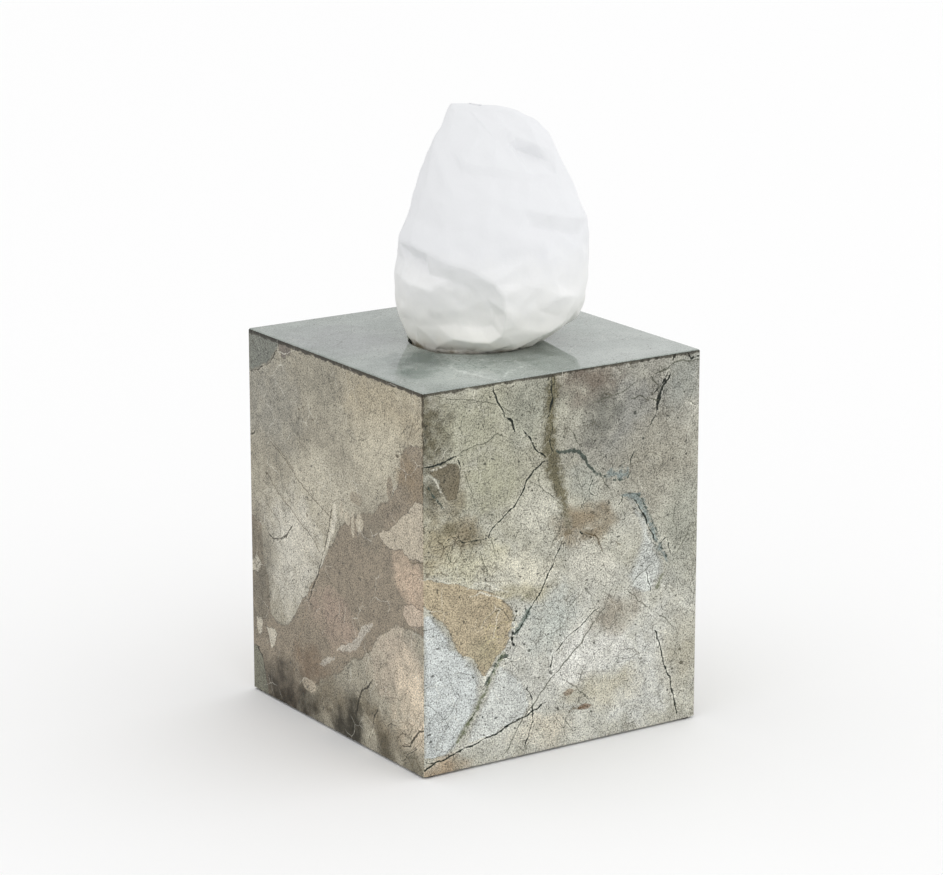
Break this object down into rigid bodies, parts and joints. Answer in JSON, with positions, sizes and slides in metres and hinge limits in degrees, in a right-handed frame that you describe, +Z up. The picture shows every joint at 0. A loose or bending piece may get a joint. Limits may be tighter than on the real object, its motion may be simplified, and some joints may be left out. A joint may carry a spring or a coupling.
{
  "type": "tissue box",
  "caption": "Square stone tissue box cover of mitred polished slabs over a card carton, with the next tissue drawn up through the round opening on top.",
  "frame": {"origin": "on the table, under the middle of the cover", "axes": "+Z up out of the opening, -Y out of the front slab, -X out of the left slab"},
  "size_m": [0.13, 0.13, 0.247],
  "materials": {
    "stone_top": "polished",
    "stone_front": "polished",
    "stone_left": "polished",
    "felt": "matte",
    "carton_card": "matte",
    "film": "gloss",
    "tissue_paper": "matte"
  },
  "bodies": {
    "root": {"top_slab": "stone_top", "front_slab": "stone_front", "back_slab": "stone_left", "left_slab": "stone_left", "right_slab": "stone_front", "foot_pads": "felt", "tissue_carton": "carton_card", "slit_film": "film", "tissue_stack": "tissue_paper", "drawn_tissue": "tissue_paper"}
  },
  "joints": []
}
